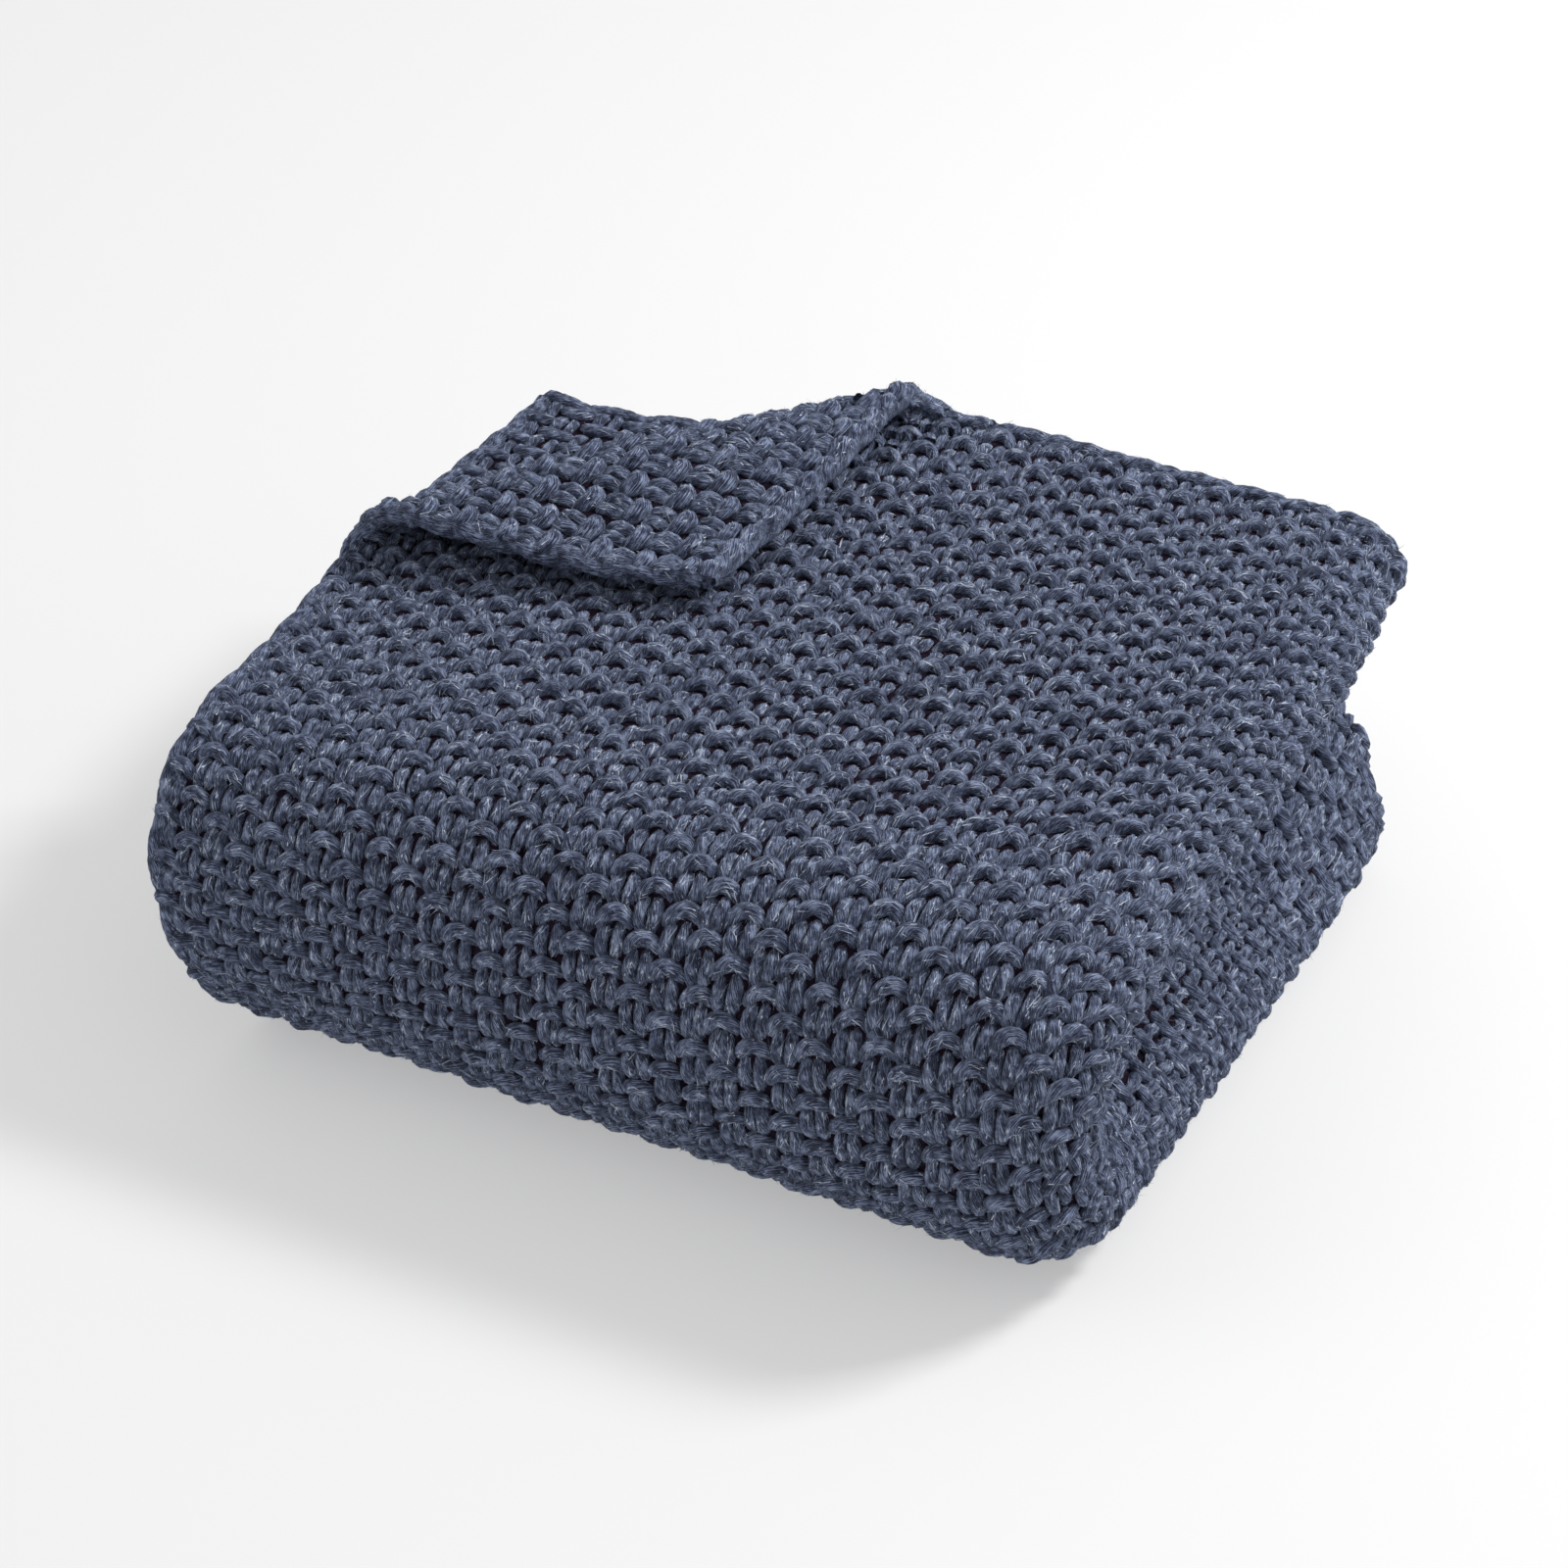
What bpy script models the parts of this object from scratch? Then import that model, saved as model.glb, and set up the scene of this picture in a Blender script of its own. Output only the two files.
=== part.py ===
"""Knit throw, folded: one rectangle of thick knitted cloth, built in its true folds as one solid.

The cloth is folded three times. First in half along its length, then in thirds across its width, like a letter,
and then in half again, with that fold at the front. The free corner on top, at the back left, is turned back
over the top. Metres, +Z up, front at -Y, the throw rests on Z = 0.
"""

import math

import bpy
import numpy as np
from mathutils.geometry import delaunay_2d_cdt

# The cloth
THROW_WIDTH = 1.27
THROW_LENGTH = 1.52
CLOTH = 0.0115
PITCH = 0.013

# First fold, in half along the length: a slab of two layers, both free ends at the back of the top
HAIRPIN = math.pi * PITCH / 2
STRIP = (THROW_LENGTH - HAIRPIN) / 2
SLAB = 2 * PITCH

# Second fold, thirds across the width: a bundle of six layers. The cover goes from its free edge on the left
# to the right bulge, the base comes back to the left, and the tuck lies between them.
BUNDLE = 3 * SLAB
RIGHT_ARC = math.pi * SLAB
LEFT_ARC = math.pi * SLAB / 2
TUCK_CLEAR = 0.002
HALF_WIDTH = (THROW_WIDTH - RIGHT_ARC - LEFT_ARC + 1.5 * BUNDLE + 2 * SLAB + TUCK_CLEAR) / 6
RIGHT_CENTRE = HALF_WIDTH - BUNDLE / 2
LEFT_CENTRE = SLAB - HALF_WIDTH
COVER_RUN = RIGHT_CENTRE + HALF_WIDTH
BASE_RUN = RIGHT_CENTRE - LEFT_CENTRE
TUCK_RUN = THROW_WIDTH - COVER_RUN - RIGHT_ARC - BASE_RUN - LEFT_ARC

# Third fold, in half at the front: the top half reaches further back than the bottom half
CORE = 0.0008
FRONT_LEVEL = 0.65
FRONT_RADIUS = CORE + FRONT_LEVEL * BUNDLE
FRONT_ARC = math.pi * FRONT_RADIUS
OVERHANG = 0.040
TOP_RUN = (STRIP - FRONT_ARC + OVERHANG) / 2
BOTTOM_RUN = STRIP - FRONT_ARC - TOP_RUN
FRONT_SQUARENESS = 2.3
MID_HEIGHT = CORE + BUNDLE - (PITCH - CLOTH) / 2
DEPTH = TOP_RUN + CORE + BUNDLE
FRONT_CENTRE = DEPTH / 2 - TOP_RUN

# The turned-back corner: its fold line runs from the left edge to the back edge of the top layer
FLAP_LEFT = 0.222
FLAP_BACK = 0.216
FLAP_SPAN = math.hypot(FLAP_LEFT, FLAP_BACK)
FLAP_REACH = FLAP_LEFT * FLAP_BACK / FLAP_SPAN
ROLL_RADIUS_BACK = 0.0095
ROLL_RADIUS_LEFT = 0.0130
FLAP_SETTLE = 0.070
FLAP_REST = PITCH + 0.0015
FLAP_EASE = 0.0025
FLAP_EASE_REACH = 0.080

# How finely each run is divided
RUN_STEPS_ACROSS = 7
RIGHT_ARC_STEPS = 10
LEFT_ARC_STEPS = 6
TOP_STEPS = 7
FRONT_ARC_STEPS = 12
HAIRPIN_STEPS = 5
ROLL_STEPS = 8
ALONG_ROLL_STEPS = 8
FLAP_LINES = (0.25, 0.55)
ROLL_KEEP_OFF = 0.012
SAME_PLACE = 1e-6
SHARP_ANGLE = math.radians(50)

# Where the heap has settled: near a place it is pushed by dx and dy, and its height over the floor grows by a share
SETTLING = (
    # x, y, z, reach in x, reach in y, reach in z, dx, dy, share
    (0.020, -0.020, 0.150, 0.200, 0.140, 1.000, 0.0, 0.0, 0.010),
    (-0.200, 0.200, 0.150, 0.140, 0.130, 1.000, 0.012, -0.034, -0.115),
    (-0.235, -0.010, 0.150, 0.100, 0.110, 1.000, 0.0, 0.0, -0.125),
    (-0.230, -0.130, 0.000, 0.090, 0.200, 0.080, 0.042, 0.0, 0.0),
    (-0.240, -0.130, 0.130, 0.080, 0.120, 0.090, 0.024, 0.0, -0.010),
    (0.225, 0.210, 0.110, 0.080, 0.080, 0.090, -0.016, -0.008, -0.010),
    (0.080, 0.210, 0.150, 0.120, 0.080, 1.000, 0.0, -0.006, -0.010),
    (0.200, 0.150, 0.080, 0.110, 0.150, 0.045, -0.004, 0.0, 0.110),
)

YARN_BLUE = (0.075, 0.115, 0.185)
YARN_ROUGHNESS = 0.92


def clear_scene():
    for thing in list(bpy.data.objects):
        bpy.data.objects.remove(thing, do_unlink=True)


def smooth_step(t):
    t = np.clip(t, 0.0, 1.0)
    return t * t * (3 - 2 * t)


def fold_in_strips(v, w):
    """First fold. Gives the place along the slab and the height in it, its outer face highest."""
    along = np.empty_like(v)
    height = np.empty_like(v)

    outer = v <= STRIP
    along[outer] = v[outer]
    height[outer] = 1.5 * PITCH + w[outer]

    turn = (v > STRIP) & (v <= STRIP + HAIRPIN)
    angle = (v[turn] - STRIP) / (PITCH / 2)
    radius = PITCH / 2 + w[turn]
    along[turn] = STRIP + radius * np.sin(angle)
    height[turn] = PITCH + radius * np.cos(angle)

    inner = v > STRIP + HAIRPIN
    along[inner] = 2 * STRIP + HAIRPIN - v[inner]
    height[inner] = 0.5 * PITCH - w[inner]
    return along, height


def fold_like_letter(u, height):
    """Second fold. Gives x and the height in the bundle of six layers, the cover highest."""
    x = np.empty_like(u)
    level = np.empty_like(u)
    base_start = COVER_RUN + RIGHT_ARC
    left_start = base_start + BASE_RUN
    tuck_start = left_start + LEFT_ARC

    cover = u <= COVER_RUN
    x[cover] = u[cover] - HALF_WIDTH
    level[cover] = 2 * SLAB + height[cover]

    right = (u > COVER_RUN) & (u <= base_start)
    angle = (u[right] - COVER_RUN) / SLAB
    radius = SLAB / 2 + height[right]
    x[right] = RIGHT_CENTRE + radius * np.sin(angle)
    level[right] = 1.5 * SLAB + radius * np.cos(angle)

    base = (u > base_start) & (u <= left_start)
    x[base] = RIGHT_CENTRE - (u[base] - base_start)
    level[base] = SLAB - height[base]

    left = (u > left_start) & (u <= tuck_start)
    angle = (u[left] - left_start) / (SLAB / 2)
    x[left] = LEFT_CENTRE - height[left] * np.sin(angle)
    level[left] = SLAB - height[left] * np.cos(angle)

    tuck = u > tuck_start
    x[tuck] = LEFT_CENTRE + (u[tuck] - tuck_start)
    level[tuck] = SLAB + height[tuck]
    return x, level


def fold_in_half(along, level):
    """Third fold. Gives y and z, the cover outside all round."""
    y = np.empty_like(along)
    z = np.empty_like(along)
    radius = CORE + level

    top = along <= TOP_RUN
    y[top] = FRONT_CENTRE + TOP_RUN - along[top]
    z[top] = radius[top]

    front = (along > TOP_RUN) & (along <= TOP_RUN + FRONT_ARC)
    angle = (along[front] - TOP_RUN) / FRONT_RADIUS
    sine = np.sin(angle)
    cosine = np.cos(angle)
    round_off = (np.abs(sine) ** FRONT_SQUARENESS + np.abs(cosine) ** FRONT_SQUARENESS) ** (-1 / FRONT_SQUARENESS)
    y[front] = FRONT_CENTRE - radius[front] * sine * round_off
    z[front] = radius[front] * cosine * round_off

    bottom = along > TOP_RUN + FRONT_ARC
    y[bottom] = FRONT_CENTRE + along[bottom] - TOP_RUN - FRONT_ARC
    z[bottom] = -radius[bottom]
    return y, z + MID_HEIGHT


def past_fold(u, v):
    """How far a place of the flat cloth lies past the corner's fold line."""
    return FLAP_REACH * (1 - u / FLAP_BACK - v / FLAP_LEFT)


def turn_corner(u, v, w):
    """Rolls the free corner of the top layer back over it. Gives new u, v and w."""
    past = past_fold(u, v)
    share = np.clip(v / FLAP_LEFT, 0.0, 1.0)
    roll = ROLL_RADIUS_BACK + (ROLL_RADIUS_LEFT - ROLL_RADIUS_BACK) * share
    angle = np.clip(past / roll, 0.0, math.pi)
    flat = np.clip(past - math.pi * roll, 0.0, None)
    radius = roll - w
    ahead = np.where(past > 0, radius * np.sin(angle) - flat, past)
    lift = roll - radius * np.cos(angle)
    sink = (2 * roll - FLAP_REST) * smooth_step(flat / FLAP_SETTLE)
    move = ahead - past
    new_u = np.where(past > 0, u - move * FLAP_LEFT / FLAP_SPAN, u)
    new_v = np.where(past > 0, v - move * FLAP_BACK / FLAP_SPAN, v)
    new_w = np.where(past > 0, lift - sink, w) + FLAP_EASE * smooth_step(1 + past / FLAP_EASE_REACH)
    return new_u, new_v, new_w


def settle(x, y, z):
    push_x = np.zeros_like(z)
    push_y = np.zeros_like(z)
    share = np.ones_like(z)
    for at_x, at_y, at_z, reach_x, reach_y, reach_z, dx, dy, grow in SETTLING:
        away = ((x - at_x) / reach_x) ** 2 + ((y - at_y) / reach_y) ** 2 + ((z - at_z) / reach_z) ** 2
        near = np.exp(-away)
        push_x += dx * near
        push_y += dy * near
        share += grow * near
    return x + push_x, y + push_y, z * share


def place(u, v, w):
    """Takes points of the flat cloth, with w from its middle, to the folded throw."""
    corner = (u <= COVER_RUN) & (v <= TOP_RUN)
    turned = turn_corner(u, v, w)
    u = np.where(corner, turned[0], u)
    v = np.where(corner, turned[1], v)
    w = np.where(corner, turned[2], w)
    along, height = fold_in_strips(v, w)
    x, level = fold_like_letter(u, height)
    y, z = fold_in_half(along, level)
    return np.stack(settle(x, y, z), axis=1)


def run(start, length, steps):
    return [start + length * step / steps for step in range(steps)]


def stations_across():
    """Lines of the flat cloth across its width, as (u, whether x runs backwards after it)."""
    lines = []
    start = 0.0
    runs = (
        (COVER_RUN, RUN_STEPS_ACROSS, False),
        (RIGHT_ARC, RIGHT_ARC_STEPS, False),
        (BASE_RUN, RUN_STEPS_ACROSS, True),
        (LEFT_ARC, LEFT_ARC_STEPS, False),
        (TUCK_RUN, RUN_STEPS_ACROSS, False),
    )
    for length, steps, backwards in runs:
        lines += [(u, backwards) for u in run(start, length, steps)]
        start += length
    return lines + [(THROW_WIDTH, False)]


def stations_along():
    """Lines of the flat cloth along its length, as (v, whether y runs backwards after it)."""
    lines = []
    start = 0.0
    strip_runs = ((TOP_RUN, TOP_STEPS, False), (FRONT_ARC, FRONT_ARC_STEPS, False), (BOTTOM_RUN, TOP_STEPS, True))
    turned_runs = tuple((length, steps, not backwards) for length, steps, backwards in strip_runs[::-1])
    for length, steps, backwards in strip_runs + ((HAIRPIN, HAIRPIN_STEPS, False),) + turned_runs:
        lines += [(v, backwards) for v in run(start, length, steps)]
        start += length
    return lines + [(THROW_LENGTH, False)]


class FlatNet:
    """The triangles of the flat cloth, with each point kept once."""

    def __init__(self):
        self.points = []
        self.lookup = {}
        self.triangles = []

    def point(self, u, v):
        key = (round(u, 7), round(v, 7))
        if key not in self.lookup:
            self.lookup[key] = len(self.points)
            self.points.append((u, v))
        return self.lookup[key]

    def triangle(self, *corners):
        self.triangles.append(tuple(self.point(*corner) for corner in corners))


def roll_lines():
    """Lines along the turned corner, from the back edge to the left edge: round the roll, and on the flap."""
    back_roll = math.pi * ROLL_RADIUS_BACK
    left_roll = math.pi * ROLL_RADIUS_LEFT
    starts = [(back_roll * step / ROLL_STEPS, left_roll * step / ROLL_STEPS) for step in range(ROLL_STEPS + 1)]
    for share in FLAP_LINES:
        starts.append((back_roll + (FLAP_REACH - back_roll) * share, left_roll + (FLAP_REACH - left_roll) * share))
    lines = []
    for back_past, left_past in starts:
        back_u = FLAP_BACK * (1 - back_past / FLAP_REACH)
        left_v = FLAP_LEFT * (1 - left_past / FLAP_REACH)
        shares = [step / ALONG_ROLL_STEPS for step in range(ALONG_ROLL_STEPS + 1)]
        lines.append([(round(back_u * (1 - share), 7), round(left_v * share, 7)) for share in shares])
    return lines


def build_corner(net, across, along):
    """Fills the top layer's run with triangles, its rim shared with the rest of the net."""
    lines = roll_lines()
    points = {(u, v) for u in across for v in along if past_fold(u, v) < -ROLL_KEEP_OFF}
    points.update(point for line in lines for point in line)
    points = sorted(points | {(0.0, 0.0)})
    number = {point: i for i, point in enumerate(points)}
    far_u = across[-1]
    far_v = along[-1]
    rim = [i for i, (u, v) in enumerate(points) if min(u, v, far_u - u, far_v - v) < SAME_PLACE]
    rim.sort(key=lambda i: math.atan2(points[i][1] - far_v / 2, points[i][0] - far_u / 2))
    edges = list(zip(rim, rim[1:] + rim[:1]))
    for line in lines:
        edges += [(number[start], number[end]) for start, end in zip(line, line[1:])]
    verts, _, faces, *_ = delaunay_2d_cdt(points, edges, [], 1, SAME_PLACE / 10)
    for face in faces:
        corners = [(verts[i][0], verts[i][1]) for i in face]
        area = sum(a[0] * b[1] - b[0] * a[1] for a, b in zip(corners, corners[1:] + corners[:1]))
        net.triangle(*(corners if area > 0 else corners[::-1]))


def build_net():
    """Splits the flat cloth into triangles whose diagonals lie the same way in every layer of the heap."""
    net = FlatNet()
    across = stations_across()
    along = stations_along()
    corner_across = [round(u, 7) for u, _ in across[:RUN_STEPS_ACROSS + 1]]
    corner_along = [round(v, 7) for v, _ in along[:TOP_STEPS + 1]]
    build_corner(net, corner_across, corner_along)
    for i in range(len(across) - 1):
        for j in range(len(along) - 1):
            if i < RUN_STEPS_ACROSS and j < TOP_STEPS:
                continue
            u0, u1 = across[i][0], across[i + 1][0]
            v0, v1 = along[j][0], along[j + 1][0]
            if across[i][1] == along[j][1]:
                net.triangle((u0, v0), (u1, v0), (u1, v1))
                net.triangle((u0, v0), (u1, v1), (u0, v1))
            else:
                net.triangle((u0, v0), (u1, v0), (u0, v1))
                net.triangle((u1, v0), (u1, v1), (u0, v1))
    return net


def open_edges(triangles):
    """Edges that one triangle alone has, in that triangle's own direction."""
    edges = set()
    for a, b, c in triangles:
        for edge in ((a, b), (b, c), (c, a)):
            if edge[::-1] in edges:
                edges.remove(edge[::-1])
            else:
                edges.add(edge)
    return sorted(edges)


def build_throw():
    net = build_net()
    flat = np.array(net.points)
    count = len(flat)
    half = np.full(count, CLOTH / 2)
    points = np.concatenate([place(flat[:, 0], flat[:, 1], half), place(flat[:, 0], flat[:, 1], -half)])
    middle = (points.min(axis=0) + points.max(axis=0)) / 2
    points[:, :2] -= middle[:2]
    faces = [(c, b, a) for a, b, c in net.triangles]
    faces += [(a + count, b + count, c + count) for a, b, c in net.triangles]
    for a, b in open_edges(net.triangles):
        faces.append((a, b, a + count))
        faces.append((b, b + count, a + count))
    mesh = bpy.data.meshes.new("knit_throw")
    mesh.from_pydata([tuple(point) for point in points], [], faces)
    mesh.validate()
    mesh.shade_smooth()
    mesh.set_sharp_from_angle(angle=SHARP_ANGLE)
    throw = bpy.data.objects.new("knit_throw", mesh)
    bpy.context.scene.collection.objects.link(throw)
    return throw


def yarn_material():
    material = bpy.data.materials.new("slate_blue_yarn")
    material.use_nodes = True
    shader = material.node_tree.nodes["Principled BSDF"]
    shader.inputs["Base Color"].default_value = (*YARN_BLUE, 1.0)
    shader.inputs["Roughness"].default_value = YARN_ROUGHNESS
    shader.inputs["Metallic"].default_value = 0.0
    return material


def main():
    clear_scene()
    throw = build_throw()
    throw.data.materials.append(yarn_material())


main()
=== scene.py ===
"""Scene for the folded knit throw: a thin sheet on the throw's folds, dressed with single stitches.

The cloth's own coordinates are u across, v along and w out of its middle. place() takes them to the heap.
"""

import math

import bpy
import numpy as np
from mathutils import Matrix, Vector


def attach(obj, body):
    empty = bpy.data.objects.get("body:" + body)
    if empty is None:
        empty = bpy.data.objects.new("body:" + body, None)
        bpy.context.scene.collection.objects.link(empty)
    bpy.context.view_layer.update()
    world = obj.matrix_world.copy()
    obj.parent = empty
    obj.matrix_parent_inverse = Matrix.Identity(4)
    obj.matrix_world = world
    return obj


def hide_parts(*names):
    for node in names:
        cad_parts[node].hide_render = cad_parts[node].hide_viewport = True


# The cloth and its folds, in metres. CLOTH is its thickness and PITCH the height of one layer. SLAB is the
# height of the double strip, BUNDLE that of the letter fold and CORE half the gap inside the half fold.
# MIDDLE is the middle of the settled heap's outline, which is moved to the origin.
THROW_WIDTH = 1.27
THROW_LENGTH = 1.52
CLOTH = 0.0115
PITCH = 0.013
HAIRPIN = math.pi * PITCH / 2
STRIP = (THROW_LENGTH - HAIRPIN) / 2
SLAB = 2 * PITCH
BUNDLE = 3 * SLAB
RIGHT_ARC = math.pi * SLAB
LEFT_ARC = math.pi * SLAB / 2
TUCK_CLEAR = 0.002
HALF_WIDTH = (THROW_WIDTH - RIGHT_ARC - LEFT_ARC + 1.5 * BUNDLE + 2 * SLAB + TUCK_CLEAR) / 6
RIGHT_CENTRE = HALF_WIDTH - BUNDLE / 2
LEFT_CENTRE = SLAB - HALF_WIDTH
COVER_RUN = RIGHT_CENTRE + HALF_WIDTH
BASE_RUN = RIGHT_CENTRE - LEFT_CENTRE
BASE_START = COVER_RUN + RIGHT_ARC
LEFT_START = BASE_START + BASE_RUN
TUCK_START = LEFT_START + LEFT_ARC
CORE = 0.0008
FRONT_RADIUS = CORE + 0.65 * BUNDLE
FRONT_ARC = math.pi * FRONT_RADIUS
OVERHANG = 0.040
TOP_RUN = (STRIP - FRONT_ARC + OVERHANG) / 2
FRONT_SQUARENESS = 2.3
MID_HEIGHT = CORE + BUNDLE - (PITCH - CLOTH) / 2
DEPTH = TOP_RUN + CORE + BUNDLE
FRONT_CENTRE = DEPTH / 2 - TOP_RUN
MIDDLE = (0.0026945, -0.0028613)

# The turned-back corner. Its fold meets the left edge at FLAP_LEFT and the back edge at FLAP_BACK, from the
# corner. Its free left edge bows, within BOW_FADE of the edge and fully from BOW_START past the fold, and its
# tip is moved.
FLAP_LEFT = 0.222
FLAP_BACK = 0.216
FLAP_SPAN = math.hypot(FLAP_LEFT, FLAP_BACK)
FLAP_REACH = FLAP_LEFT * FLAP_BACK / FLAP_SPAN
ROLL_RADIUS_BACK = 0.0115
ROLL_RADIUS_LEFT = 0.0155
FLAP_SETTLE = 0.085
FLAP_REST = PITCH + 0.0015
FLAP_EASE = 0.0025
FLAP_EASE_REACH = 0.080
FLAP_BOW = 0.017
BOW_FADE = 0.12
BOW_START = 0.04
TIP_MOVE = (-0.014, 0.008)

# How the heap has settled: where, how far each part reaches, its push sideways and its share of the height
SETTLING = (
    # x, y, z, reach in x, reach in y, reach in z, dx, dy, share
    (0.020, -0.020, 0.150, 0.200, 0.140, 1.000, 0.0, 0.0, 0.010),
    (-0.200, 0.200, 0.150, 0.140, 0.130, 1.000, 0.012, -0.034, -0.115),
    (-0.235, -0.010, 0.150, 0.100, 0.110, 1.000, 0.0, 0.0, -0.125),
    (-0.230, -0.130, 0.000, 0.090, 0.200, 0.080, 0.042, 0.0, 0.0),
    (-0.240, -0.130, 0.130, 0.080, 0.120, 0.090, 0.024, 0.0, -0.010),
    (0.225, 0.210, 0.110, 0.080, 0.080, 0.090, -0.016, -0.008, -0.010),
    (0.080, 0.210, 0.150, 0.120, 0.080, 1.000, 0.0, -0.006, -0.010),
    (0.200, 0.150, 0.080, 0.110, 0.150, 0.045, -0.004, 0.0, 0.110),
)

# Creases and sags, given one by one: where, how far they reach and how far they move the cloth
CREASES = (
    ((0.212, 0.190, 0.086), (0.060, 0.060, 0.032), (-0.007, 0.0, 0.015)),
    ((0.207, 0.090, 0.092), (0.060, 0.110, 0.032), (-0.018, 0.0, 0.016)),
    ((0.200, -0.050, 0.088), (0.060, 0.075, 0.030), (-0.022, 0.004, 0.012)),
    ((0.190, -0.105, 0.072), (0.045, 0.040, 0.022), (-0.020, 0.008, 0.004)),
    ((0.218, 0.160, 0.045), (0.035, 0.045, 0.013), (-0.008, 0.0, 0.0)),
    ((0.216, 0.085, 0.054), (0.035, 0.045, 0.013), (-0.009, 0.0, 0.0)),
    ((0.214, 0.010, 0.062), (0.035, 0.045, 0.013), (-0.009, 0.0, 0.0)),
    ((0.208, -0.060, 0.068), (0.035, 0.040, 0.013), (-0.008, 0.0, 0.0)),
)

# The stitches: their width and height, the yarn's radius, half the sheet's thickness, how far stitches keep
# from the cloth's edges, and the lowest height that any point has
STITCH = THROW_WIDTH / 97
ROW = THROW_LENGTH / 146
YARN = 0.0027
SHEET_HALF = 0.0012
EDGE_KEEP = 0.004
LOWEST = 0.0003
SEED = 8807
# Lines of the cloth along which folded lengths are measured: two by their distance from the back edge, and
# one by its distance from the left edge
UPPER_LINE = 0.25
LOWER_LINE = 0.62
SIDE_LINE = 0.26
# How far the courses lean back along the throw at its right side, by the distance from its back edge.
# The lean grows over LEAN_WIDTH from the left edge and dies out over LEAN_FADE beyond LEAN_END.
LEAN_WIDTH = 0.43
LEAN_POWER = 1.8
LEAN_END = 0.55
LEAN_FADE = 0.25
SKEW = 0.130
SKEW_V = (0.0, 0.05, 0.20, 0.36, 0.58, 0.66, 0.86, 1.66)
SKEW_SHARE = (0.0, 0.08, 0.55, 1.0, 0.55, 0.60, 1.1, 0.0)

# Half of a bar's path, from its hidden end to its middle: across in stitches, up in rows, out in metres, and
# thickness in yarn radii. BAR_STEPS and LEG_STEPS are where the paths are read.
HALF_BAR = (
    (-0.54, 0.68, -0.0038, 0.70),
    (-0.51, 0.93, -0.0008, 0.88),
    (-0.41, 1.16, 0.0013, 1.08),
    (-0.23, 1.34, 0.0025, 1.22),
    (0.0, 1.43, 0.0029, 1.28),
)
BAR_STEPS = (0, 0.9, 1.7, 2.5, 3.2, 4)
# On the turned-back corner they are rounder: factors on across, up, out and thickness
ROUND_BAR = (0.70, 1.0, 1.20, 1.32)
ROUND_LEG = (0.86, 0.92, 1.40, 1.12)
# One leg's path, from under the bar below it to under its own bar
LEG = (
    (0.11, -0.50, -0.0034, 0.78),
    (0.16, -0.29, -0.0004, 0.94),
    (0.22, -0.02, 0.0014, 1.05),
    (0.25, 0.30, 0.0020, 1.08),
    (0.245, 0.60, 0.0013, 1.04),
    (0.21, 0.87, -0.0006, 0.96),
    (0.16, 1.09, -0.0036, 0.80),
)
# The same leg on top of the heap, where it dips sooner and leaves a hole under the bar
TOP_LEG = (
    (0.11, -0.50, -0.0034, 0.78),
    (0.16, -0.29, -0.0004, 0.94),
    (0.22, -0.03, 0.0012, 1.04),
    (0.25, 0.27, 0.0016, 1.06),
    (0.24, 0.54, 0.0006, 1.00),
    (0.20, 0.78, -0.0018, 0.90),
    (0.16, 0.98, -0.0042, 0.78),
)
LEG_STEPS = (0, 1, 2, 3, 4, 5, 6)
# Over this run of the cloth, at the top's front end, the top's legs give way to the front's
TOP_EASE = 0.06
# Yarn swells where the rows lie wider apart, within these limits
SWELL_LIMITS = (0.85, 1.3)
SWELL_POWER = 0.7
# How much single stitches differ, as standard deviations
VARY_WIDE = 0.04
VARY_TALL = 0.03
VARY_PROUD = 0.00025
VARY_LEAN = 0.04
VARY_SHIFT = 0.018
VARY_THICK = 0.04
VARY_LUMPS = 0.02
# A short way out of the cloth, to find which way its face looks
OUTWARD = 0.001
# The colour pattern of each piece of yarn starts somewhere in this many metres
PATTERN_RUN = 5

# Loose fibres: spread and limit of their place round the yarn, height of their roots, reach in steps of the
# path, turn round the yarn (mean and spread), height of their tips (least, and mean above it) and half width
FIBRE_SPREAD = 1.0
FIBRE_LIMIT = 2.2
FIBRE_ROOT = 0.00020
FIBRE_REACH = (0.9, 2.1)
FIBRE_TURN = (0.30, 0.35)
FIBRE_TIP = (0.0001, 0.00060)
FIBRE_HALF_WIDTH = (0.00009, 0.00021)

# Pieces of the cloth's face. How far stitches run on past the faces that are seen, in metres
TOP, FRONT, RIGHT_ABOVE, RIGHT_BELOW, LEFT, BACK, CORNER, UNDER_CORNER = range(1, 9)
RUN_ON = 0.03
LEFT_RUN_ON = (0.008, 0.006)
HAIRPIN_RUN_ON = (0.012, 0.010)
BACK_EDGE = 0.05
# The corner hides what lies more than COVERED before its fold, where the mirror image is COVER_INSET inside
# the corner, and rolls away the face more than ROLLED past it. The reverse shows from REVERSE before it.
COVERED = 0.03
COVER_INSET = 0.05
ROLLED = 0.035
REVERSE = 0.004
UNDER_RUN_ON = 0.02
# Which piece a stitch belongs to is read this many rows above its line
PIECE_ROWS = 0.2

# The ropes along the free edges
ROPE_RADIUS = 0.0034
ROPE_PITCH = 0.055
ROPE_SWAY = 0.0018
ROPE_RISE = 0.0021
ROPE_STEP = 0.0028
ROPE_END = 0.002
ROPE_SIDES = 8
VARY_ROPE = 0.03
NEAR_EDGE = 0.01

# The sheet is finer inside FINE_U and FINE_V, round the turned-back corner
FINE_U = 0.234
FINE_V = 0.240
SHEET_INSET = 0.003
UNDERSIDE_SPARE = 0.02
UNDERSIDE_END = 0.002
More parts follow.
